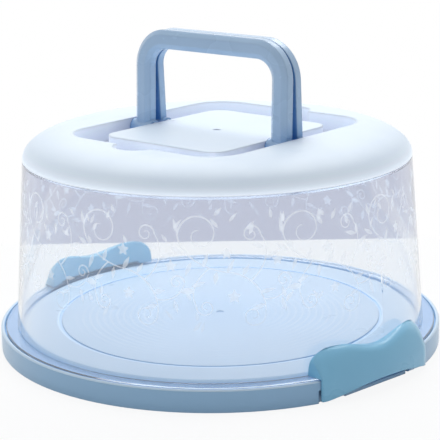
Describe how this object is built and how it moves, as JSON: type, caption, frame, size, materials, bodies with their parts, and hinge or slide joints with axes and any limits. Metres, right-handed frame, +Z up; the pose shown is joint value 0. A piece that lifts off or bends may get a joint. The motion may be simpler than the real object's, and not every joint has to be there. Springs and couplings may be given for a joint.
{
  "type": "cake carrier",
  "caption": "Round cake carrier: a low tray, a clear cover with a white cap, folding carry handles in the cap and hinged latches on the tray's rim.",
  "frame": {"origin": "centre of the tray's foot ring, on the table", "axes": "+X along the grip of the handles, +Z up, -Y towards the front handle; the latches sit 7 degrees clockwise from the X axis seen from above"},
  "size_m": [0.2972, 0.29, 0.201],
  "materials": {
    "tray_blue": "glossy moulded plastic, slightly translucent pale blue",
    "latch_blue": "glossy moulded plastic, blue",
    "handle_blue": "glossy moulded plastic, blue",
    "pin_steel": "plain drawn wire pin",
    "pin_blue": "glossy moulded plastic, blue",
    "cover_clear": "clear moulded plastic with a printed white scroll",
    "cap_white": "glossy white moulded plastic"
  },
  "bodies": {
    "base": {"tray": "tray_blue", "latch_pins": "pin_steel"},
    "right_latch": {"latch_right": "latch_blue"},
    "left_latch": {"latch_left": "latch_blue"},
    "cover": {"clear_cover": "cover_clear", "white_cap": "cap_white", "handle_pins": "pin_blue"},
    "front_handle": {"handle_front": "handle_blue"},
    "rear_handle": {"handle_rear": "handle_blue"}
  },
  "joints": [
    {"name": "latch_right_open", "type": "hinge", "parent": "base", "child": "right_latch", "pos_m": [0.13781, -0.01692, 0.0032], "axis": [0.1219, 0.9925, 0], "range_deg": [0, 40]},
    {"name": "latch_left_open", "type": "hinge", "parent": "base", "child": "left_latch", "pos_m": [-0.13781, 0.01692, 0.0032], "axis": [-0.1219, -0.9925, 0], "range_deg": [0, 40]},
    {"name": "cover_lift", "type": "slide", "parent": "base", "child": "cover", "axis": [0, 0, 1], "range_m": [0, 0.15]},
    {"name": "handle_front_fold", "type": "hinge", "parent": "cover", "child": "front_handle", "pos_m": [0, -0.0062, 0.1343], "axis": [1, 0, 0], "range_deg": [0, 92]},
    {"name": "handle_rear_fold", "type": "hinge", "parent": "cover", "child": "rear_handle", "pos_m": [0, 0.0062, 0.1343], "axis": [-1, 0, 0], "range_deg": [0, 92]}
  ]
}
